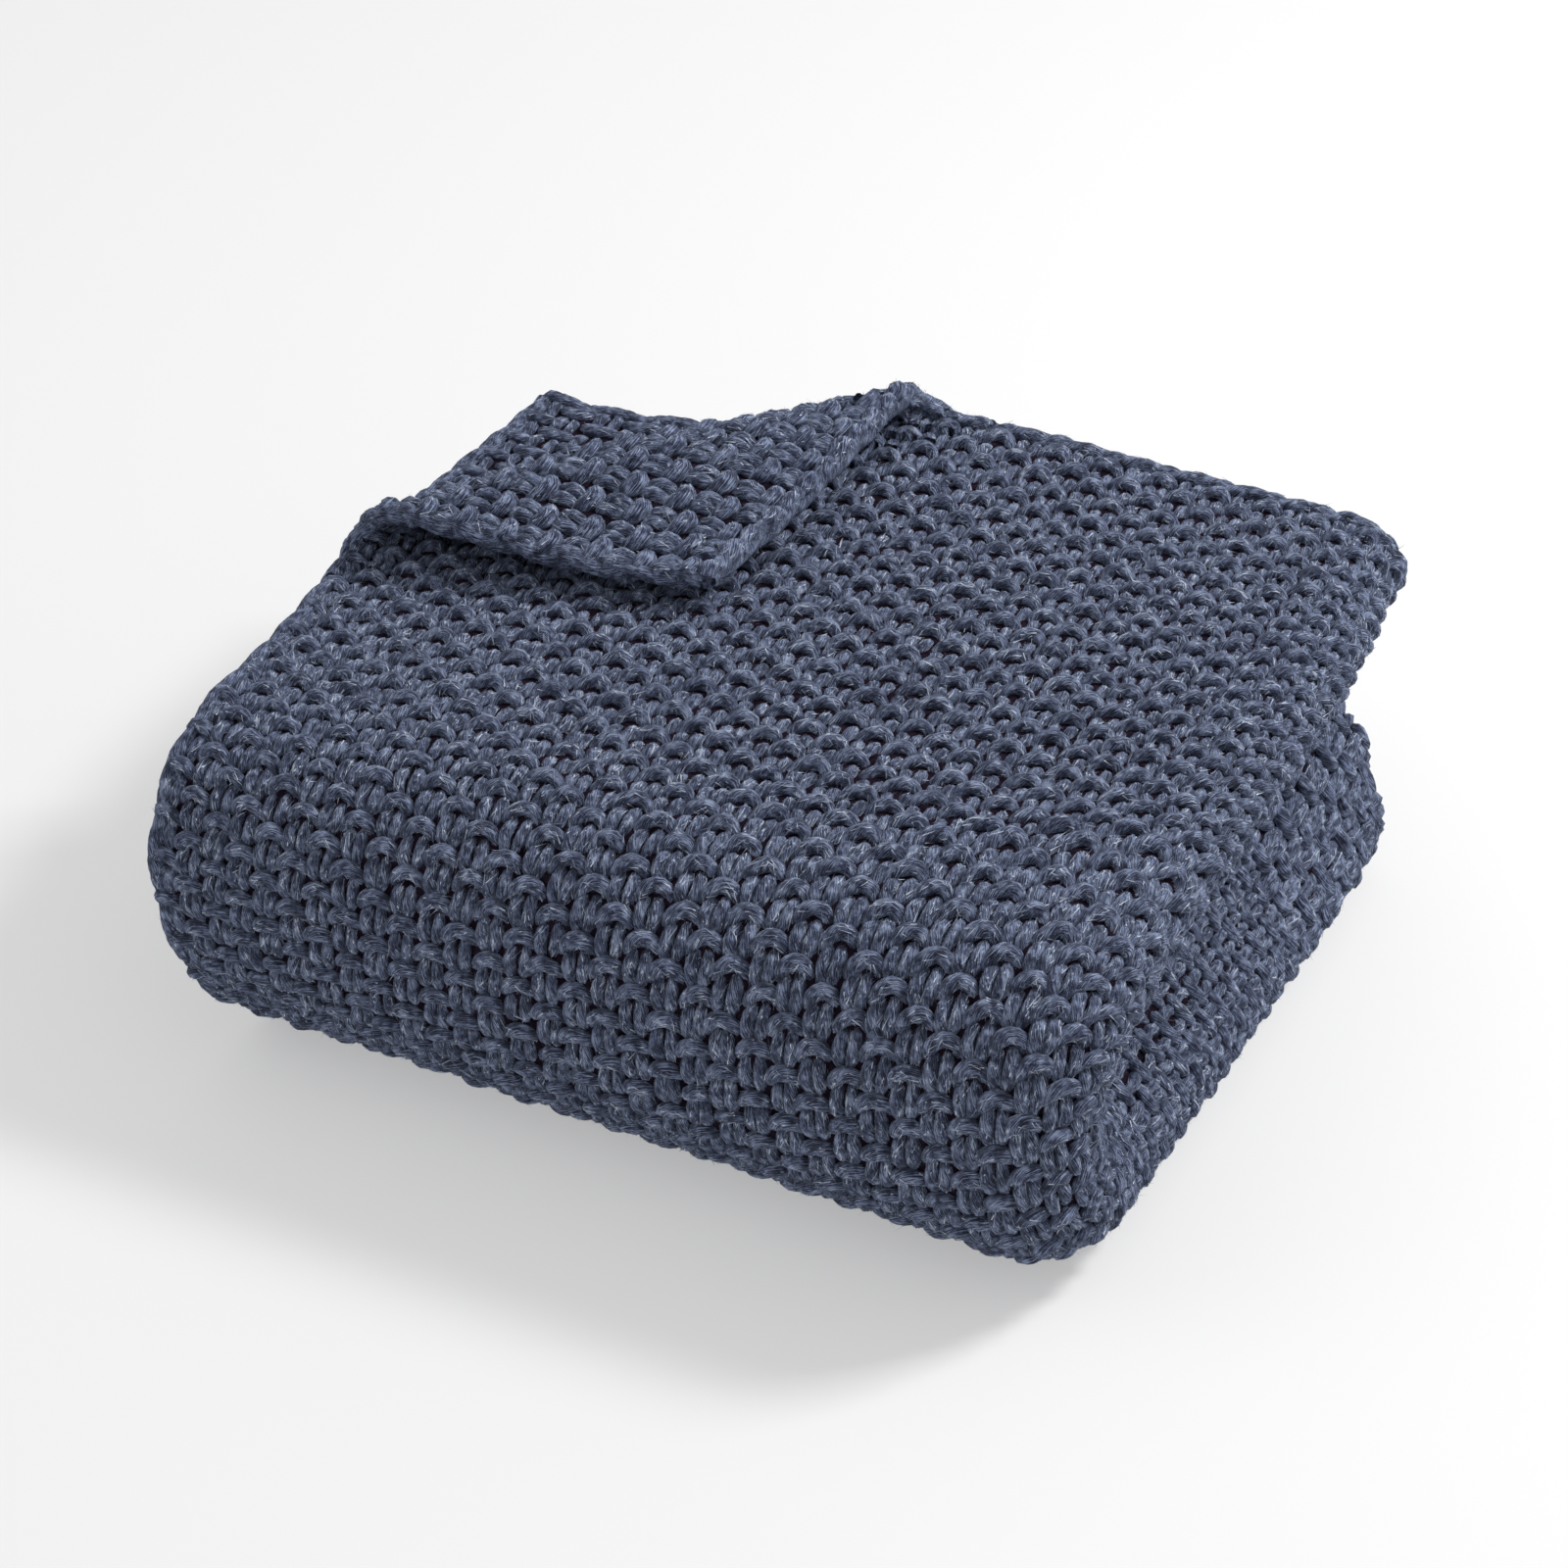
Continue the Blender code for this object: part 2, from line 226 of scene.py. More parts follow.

# Colours of the yarn and of its loose fibres, from dark to light. The fibres are coloured lighter than the
# yarn: painted highlight, for light caught by the fuzz.
YARN_TONES = (
    (0.58, (0.007, 0.006, 0.014)),
    (0.64, (0.025, 0.028, 0.062)),
    (0.69, (0.076, 0.093, 0.182)),
    (0.78, (0.350, 0.420, 0.600)),
)
# The loose fibres' tones, lighter than the yarn's as painted highlight
FIBRE_HIGHLIGHT_TONES = (
    (0.55, (0.024, 0.030, 0.060)),
    (0.62, (0.082, 0.108, 0.190)),
    (0.69, (0.230, 0.280, 0.410)),
    (0.78, (0.640, 0.700, 0.800)),
)
# Turns of the plies per metre of yarn, and how fine their streaks are round and along it
TWIST = 28.0
STREAKS_ROUND = 5.5
STREAKS_ALONG = 20.0
CLOUD_SHARE = 0.35

# The view: angles in degrees, lengths in metres, the frame and focal length in pixels
VIEW_TURN = 27.04
VIEW_TIP = 35.68
VIEW_DISTANCE = 2.436
VIEW_TARGET = (-0.0549, 0.0971, 0.0)
FRAME_PIXELS = 1600
FOCAL_PIXELS = 5600
SENSOR = 36.0
FLOOR_REACH = 12.0
FLOOR_DROP = 0.0005
LIGHT_AIM = (0, 0, 0.05)


def smooth_step(t):
    t = np.clip(t, 0.0, 1.0)
    return t * t * (3 - 2 * t)


def past_fold(u, v):
    """How far a point of the flat cloth lies past the turned-back corner's fold."""
    return FLAP_REACH * (1 - u / FLAP_BACK - v / FLAP_LEFT)


def turn_corner(u, v, w):
    past = past_fold(u, v)
    share = np.clip(v / FLAP_LEFT, 0.0, 1.0)
    roll = ROLL_RADIUS_BACK + (ROLL_RADIUS_LEFT - ROLL_RADIUS_BACK) * share
    angle = np.clip(past / roll, 0.0, math.pi)
    flat = np.clip(past - math.pi * roll, 0.0, None)
    radius = roll - w
    ahead = np.where(past > 0, radius * np.sin(angle) - flat, past)
    lift = roll - radius * np.cos(angle)
    sink = (2 * roll - FLAP_REST) * smooth_step(flat / FLAP_SETTLE)
    move = ahead - past
    new_u = np.where(past > 0, u - move * FLAP_LEFT / FLAP_SPAN, u)
    new_v = np.where(past > 0, v - move * FLAP_BACK / FLAP_SPAN, v)
    hang = np.sin(math.pi * share) * (1 - smooth_step(u / BOW_FADE)) * smooth_step(past / BOW_START)
    pull = np.clip(past / FLAP_REACH, 0.0, 1.0) ** 2
    new_u = new_u + TIP_MOVE[0] * pull
    new_v = new_v + FLAP_BOW * hang + TIP_MOVE[1] * pull
    new_w = np.where(past > 0, lift - sink, w) + FLAP_EASE * smooth_step(1 + past / FLAP_EASE_REACH)
    return new_u, new_v, new_w


def fold_in_strips(v, w):
    along = np.where(v <= STRIP, v, THROW_LENGTH - v)
    height = np.where(v <= STRIP, 1.5 * PITCH + w, 0.5 * PITCH - w)
    turn = (v > STRIP) & (v <= STRIP + HAIRPIN)
    angle = (v[turn] - STRIP) / (PITCH / 2)
    radius = PITCH / 2 + w[turn]
    along[turn] = STRIP + radius * np.sin(angle)
    height[turn] = PITCH + radius * np.cos(angle)
    return along, height


def fold_like_letter(u, height):
    x = u - HALF_WIDTH
    level = 2 * SLAB + height
    right = (u > COVER_RUN) & (u <= BASE_START)
    angle = (u[right] - COVER_RUN) / SLAB
    radius = SLAB / 2 + height[right]
    x[right] = RIGHT_CENTRE + radius * np.sin(angle)
    level[right] = 1.5 * SLAB + radius * np.cos(angle)
    base = (u > BASE_START) & (u <= LEFT_START)
    x[base] = RIGHT_CENTRE - (u[base] - BASE_START)
    level[base] = SLAB - height[base]
    left = (u > LEFT_START) & (u <= TUCK_START)
    angle = (u[left] - LEFT_START) / (SLAB / 2)
    x[left] = LEFT_CENTRE - height[left] * np.sin(angle)
    level[left] = SLAB - height[left] * np.cos(angle)
    tuck = u > TUCK_START
    x[tuck] = LEFT_CENTRE + (u[tuck] - TUCK_START)
    level[tuck] = SLAB + height[tuck]
    return x, level


def fold_in_half(along, level):
    radius = CORE + level
    y = FRONT_CENTRE + TOP_RUN - along
    z = radius.copy()
    front = (along > TOP_RUN) & (along <= TOP_RUN + FRONT_ARC)
    angle = (along[front] - TOP_RUN) / FRONT_RADIUS
    sine = np.sin(angle)
    cosine = np.cos(angle)
    power = FRONT_SQUARENESS
    round_off = (np.abs(sine) ** power + np.abs(cosine) ** power) ** (-1 / power)
    y[front] = FRONT_CENTRE - radius[front] * sine * round_off
    z[front] = radius[front] * cosine * round_off
    bottom = along > TOP_RUN + FRONT_ARC
    y[bottom] = FRONT_CENTRE + along[bottom] - TOP_RUN - FRONT_ARC
    z[bottom] = -radius[bottom]
    return y, z + MID_HEIGHT


def settle(points):
    x, y, z = points.T
    push_x = np.zeros_like(z)
    push_y = np.zeros_like(z)
    share = np.ones_like(z)
    for at_x, at_y, at_z, reach_x, reach_y, reach_z, dx, dy, grow in SETTLING:
        away = ((x - at_x) / reach_x) ** 2 + ((y - at_y) / reach_y) ** 2 + ((z - at_z) / reach_z) ** 2
        near = np.exp(-away)
        push_x += dx * near
        push_y += dy * near
        share += grow * near
    points = np.stack([x + push_x - MIDDLE[0], y + push_y - MIDDLE[1], z * share], axis=1)
    for spot, reach, move in CREASES:
        near = np.exp(-np.sum(((points - spot) / np.array(reach)) ** 2, axis=1))
        points = points + near[:, None] * move
    return points


def place(u, v, w):
    """Takes points of the flat cloth to the folded throw."""
    corner = (u <= COVER_RUN) & (v <= TOP_RUN)
    turned = turn_corner(u, v, w)
    u = np.where(corner, turned[0], u)
    v = np.where(corner, turned[1], v)
    w = np.where(corner, turned[2], w)
    along, height = fold_in_strips(v, w)
    x, level = fold_like_letter(u, height)
    y, z = fold_in_half(along, level)
    return settle(np.stack([x, y, z], axis=1))


def unit(vectors):
    return vectors / np.maximum(np.linalg.norm(vectors, axis=-1, keepdims=True), 1e-12)


# Meshes

def new_object(name, points, faces, material, uvs=None):
    mesh = bpy.data.meshes.new(name)
    points = np.array(points, dtype=np.float32)
    points[:, 2] = np.maximum(points[:, 2], LOWEST)
    mesh.vertices.add(len(points))
    mesh.vertices.foreach_set("co", points.ravel())
    faces = np.asarray(faces, dtype=np.int32)
    size = faces.shape[1]
    mesh.loops.add(faces.size)
    mesh.loops.foreach_set("vertex_index", faces.ravel())
    mesh.polygons.add(len(faces))
    mesh.polygons.foreach_set("loop_start", np.arange(len(faces), dtype=np.int32) * size)
    mesh.polygons.foreach_set("loop_total", np.full(len(faces), size, dtype=np.int32))
    mesh.update(calc_edges=True)
    if uvs is not None:
        layer = mesh.uv_layers.new(name="UVMap")
        layer.data.foreach_set("uv", np.asarray(uvs, dtype=np.float32).ravel())
    mesh.polygons.foreach_set("use_smooth", np.ones(len(faces), dtype=bool))
    mesh.validate()
    mesh.update()
    piece = bpy.data.objects.new(name, mesh)
    bpy.context.scene.collection.objects.link(piece)
    mesh.materials.append(material)
    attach(piece, "root")
    return piece


def frames(paths, normals):
    tangent = unit(np.gradient(paths, axis=1))
    out = unit(normals - np.sum(normals * tangent, axis=2, keepdims=True) * tangent)
    return out, np.cross(tangent, out)


def tubes(paths, normals, radii, sides, start):
    """Tubes on paths of shape (count, steps, 3). UVs run in metres along the yarn and once round it."""
    count, steps, _ = paths.shape
    out, side = frames(paths, normals)
    turn = np.arange(sides) / sides * 2 * math.pi + math.pi
    ring = (
        out[:, :, None, :] * np.cos(turn)[None, None, :, None]
        + side[:, :, None, :] * np.sin(turn)[None, None, :, None]
    )
    points = paths[:, :, None, :] + ring * radii[:, :, None, None]
    number = np.arange(count * steps * sides).reshape(count, steps, sides)
    a = number[:, :-1, :]
    b = np.roll(a, -1, axis=2)
    c = np.roll(number[:, 1:, :], -1, axis=2)
    d = number[:, 1:, :]
    faces = np.stack([a, b, c, d], axis=-1).reshape(-1, 4)
    length = np.concatenate(
        [np.zeros((count, 1)), np.cumsum(np.linalg.norm(np.diff(paths, axis=1), axis=2), axis=1)], axis=1
    ) + start[:, None]
    round_it = np.arange(sides) / sides
    u0 = np.broadcast_to(length[:, :-1, None], a.shape)
    u1 = np.broadcast_to(length[:, 1:, None], a.shape)
    v0 = np.broadcast_to(round_it, a.shape)
    v1 = v0 + 1 / sides
    uvs = np.stack([u0, v0, u0, v1, u1, v1, u1, v0], axis=-1).reshape(-1, 2)
    return points.reshape(-1, 3), faces, uvs


def fuzz(paths, normals, radii, per_path, rng):
    """Loose fibres on the outer side of the tubes, each one thin triangle lying nearly along the yarn."""
    out, side = frames(paths, normals)
    count, steps, _ = paths.shape
    which = np.repeat(np.arange(count), per_path)
    many = len(which)

    def on_tube(at, angle, lift):
        at = np.clip(at, 0, steps - 1.001)
        low = at.astype(int)
        part = (at - low)[:, None]

        def between(values):
            return values[which, low] * (1 - part) + values[which, low + 1] * part

        ray = unit(between(out) * np.cos(angle)[:, None] + between(side) * np.sin(angle)[:, None])
        return between(paths) + ray * (between(radii[:, :, None]) + lift[:, None]), ray

    at = rng.uniform(0.8, steps - 1.8, many)
    angle = np.clip(rng.normal(0, FIBRE_SPREAD, many), -FIBRE_LIMIT, FIBRE_LIMIT)
    base, ray = on_tube(at, angle, rng.uniform(0.0, FIBRE_ROOT, many))
    reach = rng.uniform(*FIBRE_REACH, many) * rng.choice((-1, 1), many)
    tip_angle = angle + rng.normal(*FIBRE_TURN, many)
    tip_lift = FIBRE_TIP[0] + rng.exponential(FIBRE_TIP[1], many)
    tip, _ = on_tube(at + reach, tip_angle, tip_lift)
    across = unit(np.cross(tip - base, ray)) * rng.uniform(*FIBRE_HALF_WIDTH, many)[:, None]
    points = np.stack([base - across, base + across, tip], axis=1).reshape(-1, 3)
    faces = np.arange(3 * many).reshape(many, 3)
    spot = np.stack([rng.uniform(0, PATTERN_RUN, many), rng.uniform(0, 1, many)], axis=1)
    return points, faces, np.repeat(spot, 3, axis=0)


# Stitches

def distances(u, v):
    """Distances along a line of the cloth's outer face, where it lies folded."""
    points = place(u, v, np.where(v > STRIP + HAIRPIN, 0.0, CLOTH / 2))
    return np.concatenate([[0], np.cumsum(np.linalg.norm(np.diff(points, axis=0), axis=1))])


ACROSS = np.linspace(0, THROW_WIDTH, 1271)
ALONG = np.linspace(0, THROW_LENGTH, 1521)
ACROSS_DISTANCE = distances(ACROSS, 0 * ACROSS + UPPER_LINE)
ACROSS_BELOW = distances(ACROSS, 0 * ACROSS + LOWER_LINE)
ALONG_DISTANCE = distances(0 * ALONG + SIDE_LINE, ALONG)


def to_cloth(across, along):
    """Takes distances on the folded throw's outer face to the flat cloth, with the courses' lean."""
    fade = 1 - smooth_step((across - LEAN_END) / LEAN_FADE)
    lean = np.clip(across / LEAN_WIDTH, 0.0, 1.0) ** LEAN_POWER * fade
    along = along - SKEW * lean * np.interp(along, SKEW_V, SKEW_SHARE)
    v = np.interp(along, ALONG_DISTANCE, ALONG)
    below = smooth_step((v - TOP_RUN) / FRONT_ARC)
    upper_u = np.interp(across, ACROSS_DISTANCE, ACROSS)
    lower_u = np.interp(across, ACROSS_BELOW, ACROSS)
    return upper_u * (1 - below) + lower_u * below, v


def smooth_path(control, at):
    """Reads a smooth curve through the control rows at fractional row numbers."""
    padded = np.concatenate([control[:1], control, control[-1:]])
    at = np.asarray(at, dtype=float)
    low = np.minimum(at.astype(int), len(control) - 2)
    t = (at - low)[:, None]
    p0, p1, p2, p3 = (padded[low + k] for k in range(4))
    bend = (2 * p0 - 5 * p1 + 4 * p2 - p3) * t ** 2 + (3 * p1 - p0 - 3 * p2 + p3) * t ** 3
    return 0.5 * (2 * p1 + (p2 - p0) * t + bend)


def spacing(i, j):
    """How much wider the rows lie at stitches i, j than they do on the flat cloth."""
    ends = [place(*to_cloth((i + 0.5) * STITCH, (j + step) * ROW), 0 * i) for step in (-1, 1)]
    return np.linalg.norm(ends[1] - ends[0], axis=1) / (2 * ROW)


def yarn_parts(i, j, face, rounder, rng):
    """The bars and legs of stitches i, j. face is 1 on the outer face and -1 on the reverse."""
    half = np.array(HALF_BAR)
    whole = np.concatenate([half, half[-2::-1] * (-1, 1, 1, 1)])
    last = len(whole) - 1
    bar = smooth_path(whole, list(BAR_STEPS) + [last - step for step in BAR_STEPS[-2::-1]])
    leg = smooth_path(np.array(LEG), LEG_STEPS)
    top_leg = smooth_path(np.array(TOP_LEG), LEG_STEPS)
    if rounder:
        bar = bar * ROUND_BAR
        leg = top_leg = leg * ROUND_LEG
    count = len(i)
    where_v = to_cloth((i + 0.5) * STITCH, j * ROW)[1]
    on_top = (1 - smooth_step((where_v - TOP_RUN + TOP_EASE / 2) / TOP_EASE))[:, None, None]
    bars = np.broadcast_to(bar, (count, *bar.shape))
    legs = leg * (1 - on_top) + top_leg * on_top
    wide = 1 + rng.normal(0, VARY_WIDE, (count, 1))
    tall = 1 + rng.normal(0, VARY_TALL, (count, 1))
    proud = rng.normal(0, VARY_PROUD, (count, 1))
    lean = rng.normal(0, VARY_LEAN, (count, 1))
    swell = np.clip(spacing(i, j), *SWELL_LIMITS)[:, None] ** SWELL_POWER
    parts = []
    for shape in (bars, legs, legs * (-1, 1, 1, 1)):
        steps = shape.shape[1]
        shift = rng.normal(0, VARY_SHIFT, (count, 1))
        across = (i[:, None] + 0.5 + shape[:, :, 0] * wide + lean * shape[:, :, 1] + shift) * STITCH
        along = (j[:, None] + 0.5 - (shape[:, :, 1] + shift) * tall) * ROW
        u, v = to_cloth(across, along)
        w = (shape[:, :, 2] + proud) * face
        u = np.clip(u, EDGE_KEEP, THROW_WIDTH - EDGE_KEEP)
        v = np.clip(v, EDGE_KEEP, THROW_LENGTH - EDGE_KEEP)
        points = place(u.ravel(), v.ravel(), w.ravel()).reshape(count, steps, 3)
        above = place(u.ravel(), v.ravel(), (w + face * OUTWARD).ravel()).reshape(count, steps, 3)
        uneven = 1 + rng.normal(0, VARY_THICK, (count, 1)) + rng.normal(0, VARY_LUMPS, (count, steps))
        radii = YARN * swell * shape[:, :, 3] * uneven
        parts.append((points, unit(above - points), radii))
    return parts


def join(meshes):
    """Joins meshes of points, faces and UVs into one."""
    points = []
    faces = []
    uvs = []
    total = 0
    for some_points, some_faces, some_uvs in meshes:
        points.append(some_points)
        faces.append(some_faces + total)
        uvs.append(some_uvs)
        total += len(some_points)
    return np.concatenate(points), np.concatenate(faces), np.concatenate(uvs)


def on_outer_face(u, v):
    """Names the piece of the outer face that a stitch belongs to, 0 where it isn't seen."""
    zone = np.zeros(len(u), dtype=int)
    cover = u <= COVER_RUN
    zone[cover & (v <= TOP_RUN)] = TOP
    zone[cover & (v > TOP_RUN) & (v <= TOP_RUN + FRONT_ARC + RUN_ON)] = FRONT
    right = (u > COVER_RUN) & (u <= BASE_START + RUN_ON)
    zone[right & (v <= TOP_RUN + FRONT_ARC / 2)] = RIGHT_ABOVE
    zone[right & (v > TOP_RUN + FRONT_ARC / 2) & (v <= STRIP)] = RIGHT_BELOW
    left = (u > LEFT_START - LEFT_RUN_ON[0]) & (u <= TUCK_START + LEFT_RUN_ON[1])
    zone[left & (v <= STRIP)] = LEFT
    hairpin = (v > STRIP - HAIRPIN_RUN_ON[0]) & (v < STRIP + HAIRPIN + HAIRPIN_RUN_ON[1])
    zone[(zone == 0) & hairpin] = BACK
    zone[(zone == 0) & (v < BACK_EDGE) & (u > BASE_START) & (u < LEFT_START)] = BACK
    past = past_fold(u, v)
    mirror_u = u + 2 * past * FLAP_LEFT / FLAP_SPAN
    mirror_v = v + 2 * past * FLAP_BACK / FLAP_SPAN
    inside = (mirror_u > COVER_INSET) & (mirror_v > COVER_INSET)
    zone[(zone == TOP) & (past < -COVERED) & inside] = 0
    zone[(zone == TOP) & (past > ROLLED)] = 0
    return zone


def on_reverse(u, v):
    """The same for the cloth's reverse, which shows on the turned-back corner and in the layer under it."""
    zone = np.zeros(len(u), dtype=int)
    zone[past_fold(u, v) > -REVERSE] = CORNER
    behind = THROW_LENGTH - v
    zone[(behind < FLAP_LEFT + UNDER_RUN_ON) & (past_fold(u, behind) > -RUN_ON)] = UNDER_CORNER
    return zone


# Each zone's name, the sides of its yarn and its loose fibres per loop
ZONES = {
    TOP: ("top", 8, 135),
    FRONT: ("front", 8, 135),
    RIGHT_ABOVE: ("right_above", 8, 126),
    RIGHT_BELOW: ("right_below", 7, 105),
    LEFT: ("left", 6, 24),
    BACK: ("back", 5, 0),
    CORNER: ("corner", 8, 150),
    UNDER_CORNER: ("under_corner", 7, 60),
}


def knit(material, loose_fibre):
    rng = np.random.default_rng(SEED)
    column_count = int(max(ACROSS_DISTANCE[-1], ACROSS_BELOW[-1]) / STITCH)
    row_count = int(ALONG_DISTANCE[-1] / ROW)
    columns, rows = np.meshgrid(np.arange(column_count), np.arange(-1, row_count + 2))
    even = (columns + rows) % 2 == 0
    i = columns[even].astype(float)
    j = rows[even].astype(float)
    u, v = to_cloth((i + 0.5) * STITCH, (j - PIECE_ROWS) * ROW)
    made = []
    total = 0
    for face, zones in ((1, on_outer_face(u, v)), (-1, on_reverse(u, v))):
        for zone, (name, sides, fibres) in ZONES.items():
            chosen = zones == zone
            if not chosen.any():
                continue
            count = int(chosen.sum())
            parts = yarn_parts(i[chosen], j[chosen], face, zone == CORNER, rng)
            yarns = [tubes(*part, sides, rng.uniform(0, PATTERN_RUN, count)) for part in parts]
            points, faces, uvs = join(yarns)
            made.append(new_object("stitches_" + name, points, faces, material, uvs))
            total += 2 * len(faces)
            print(name, count, "loops", 2 * len(faces), "triangles")
            if fibres:
                points, faces, uvs = join([fuzz(*part, fibres // 3, rng) for part in parts])
                made.append(new_object("fibres_" + name, points, faces, loose_fibre, uvs))
                total += len(faces)
    print("stitches and fibres", total, "triangles")
    return made


# Edges

def edge_rope(name, u, v, material, seed):
    """Two strands laid round each other along a free edge of the cloth."""
    rng = np.random.default_rng(seed)
    along = np.concatenate([[0], np.cumsum(np.hypot(np.diff(u), np.diff(v)))])
    inward_u = np.where(u < NEAR_EDGE, 1.0, np.where(u > THROW_WIDTH - NEAR_EDGE, -1.0, 0.0))
    inward_v = np.where(v < NEAR_EDGE, 1.0, np.where(v > THROW_LENGTH - NEAR_EDGE, -1.0, 0.0))
    paths = []
    normals = []
    for strand in (0, 1):
        angle = along / ROPE_PITCH * 2 * math.pi + strand * math.pi
        inset = EDGE_KEEP + ROPE_SWAY * np.cos(angle)
        w = ROPE_RISE * np.sin(angle)
        at_u = u + inward_u * inset
        at_v = v + inward_v * inset
        points = place(at_u, at_v, w)
        centre = place(u + inward_u * EDGE_KEEP, v + inward_v * EDGE_KEEP, 0 * w)
        paths.append(points)
        normals.append(unit(points - centre))
    paths = np.array(paths)
    radii = ROPE_RADIUS * (1 + rng.normal(0, VARY_ROPE, paths.shape[:2]))
    start = rng.uniform(0, PATTERN_RUN, 2)
    points, faces, uvs = tubes(paths, np.array(normals), radii, ROPE_SIDES, start)
    return new_object(name, points, faces, material, uvs)


def edges(material):
    along = np.arange(ROPE_END, THROW_LENGTH - ROPE_END, ROPE_STEP)
    across = np.arange(ROPE_END, THROW_WIDTH - ROPE_END, ROPE_STEP)
    return [
        edge_rope("edge_left", 0 * along, along, material, 1),
        edge_rope("edge_back", across, 0 * across, material, 2),
        edge_rope("edge_back_under", across, 0 * across + THROW_LENGTH, material, 3),
    ]


# The sheet under the stitches, coloured near-black as painted shade where it shows in the gaps

def stations(stops):
    """Grid lines for runs of start, end and step."""
    lines = []
    for start, end, step in stops:
        count = max(1, round((end - start) / step))
        lines += [start + (end - start) * k / count for k in range(count)]
    return np.array(lines + [stops[-1][1]])


def sheet(painted_gap_shade, under_material):
    across = stations((
        (0, FINE_U, 0.006),
        (FINE_U, COVER_RUN, 0.014),
        (COVER_RUN, BASE_START, 0.007),
        (BASE_START, LEFT_START, 0.02),
        (LEFT_START, TUCK_START, 0.005),
        (TUCK_START, THROW_WIDTH, 0.02),
    ))
    front_end = TOP_RUN + FRONT_ARC
    along = stations((
        (0, FINE_V, 0.006),
        (FINE_V, TOP_RUN, 0.015),
        (TOP_RUN, front_end, 0.008),
        (front_end, STRIP, 0.02),
        (STRIP, STRIP + HAIRPIN, 0.0035),
        (STRIP + HAIRPIN, THROW_LENGTH - front_end, 0.02),
        (THROW_LENGTH - front_end, THROW_LENGTH - TOP_RUN, 0.008),
        (THROW_LENGTH - TOP_RUN, THROW_LENGTH, 0.02),
    ))
    u, v = (grid.ravel() for grid in np.meshgrid(across, along, indexing="ij"))
    wide, long = len(across), len(along)
    underside = (
        (u < COVER_RUN + UNDERSIDE_SPARE) & (v > front_end - UNDERSIDE_SPARE) & (v < STRIP + UNDERSIDE_END)
    )
    outer = np.where(underside, CLOTH / 2, SHEET_HALF)
    inset_u = np.clip(u, SHEET_INSET, THROW_WIDTH - SHEET_INSET)
    inset_v = np.clip(v, SHEET_INSET, THROW_LENGTH - SHEET_INSET)
    top = place(inset_u, inset_v, outer)
    low = place(inset_u, inset_v, np.full(len(u), -SHEET_HALF))
    number = np.arange(wide * long).reshape(wide, long)
    a, b, c, d = number[:-1, :-1], number[1:, :-1], number[1:, 1:], number[:-1, 1:]
    upper = np.stack([a, d, c, b], axis=-1).reshape(-1, 4)
    lower = np.stack([a, b, c, d], axis=-1).reshape(-1, 4) + wide * long
    rim = np.concatenate([number[:-1, 0], number[-1, :-1], number[:0:-1, -1], number[0, :0:-1]])
    after = np.roll(rim, -1)
    wall = np.stack([rim, after, after + wide * long, rim + wide * long], axis=-1)
    faces = np.concatenate([upper, lower, wall])
    points = np.concatenate([top, low])
    flat = np.stack([np.concatenate([u, u]), np.concatenate([v, v])], axis=1)
    # The sheet takes the painted shade of the gaps, and the seen part of its underside takes the pressed yarn
    piece = new_object("throw_sheet", points, faces, painted_gap_shade, flat[faces.ravel()])
    piece.data.materials.append(under_material)
    seen = underside[faces[:len(upper)]].all(axis=1)
    index = np.zeros(len(faces), dtype=np.int32)
    index[:len(upper)][seen] = 1
    piece.data.polygons.foreach_set("material_index", index)
    print("sheet", 2 * len(faces), "triangles")
    return piece


# Materials

def nodes_of(name):
    material = bpy.data.materials.new(name)
    material.use_nodes = True
    tree = material.node_tree
    return material, tree, tree.nodes["Principled BSDF"]


def colour_by(tree, shader, factor, stops):
    """Colours the shader from the stops, read at the factor."""
    node = tree.nodes.new("ShaderNodeValToRGB")
    element = node.color_ramp.elements
    while len(element) < len(stops):
        element.new(0.5)
    for k, (at, colour) in enumerate(stops):
        element[k].position = at
        element[k].color = (*colour, 1.0)
    tree.links.new(factor, node.inputs[0])
    tree.links.new(node.outputs[0], shader.inputs["Base Color"])


def bump_by(tree, shader, height, strength, distance):
    node = tree.nodes.new("ShaderNodeBump")
    node.inputs["Strength"].default_value = strength
    node.inputs["Distance"].default_value = distance
    tree.links.new(height, node.inputs["Height"])
    tree.links.new(node.outputs[0], shader.inputs["Normal"])


def scaled(tree, value, factor, added=None):
    """The value times the factor, plus a second value if one is given."""
    node = tree.nodes.new("ShaderNodeMath")
    node.operation = "MULTIPLY" if added is None else "MULTIPLY_ADD"
    tree.links.new(value, node.inputs[0])
    node.inputs[1].default_value = factor
    if added is not None:
        tree.links.new(added, node.inputs[2])
    return node.outputs[0]


def noise(tree, scale, detail, vector, roughness=0.5):
    node = tree.nodes.new("ShaderNodeTexNoise")
    node.inputs["Scale"].default_value = scale
    node.inputs["Detail"].default_value = detail
    node.inputs["Roughness"].default_value = roughness
    tree.links.new(vector, node.inputs["Vector"])
    return node.outputs["Fac"]


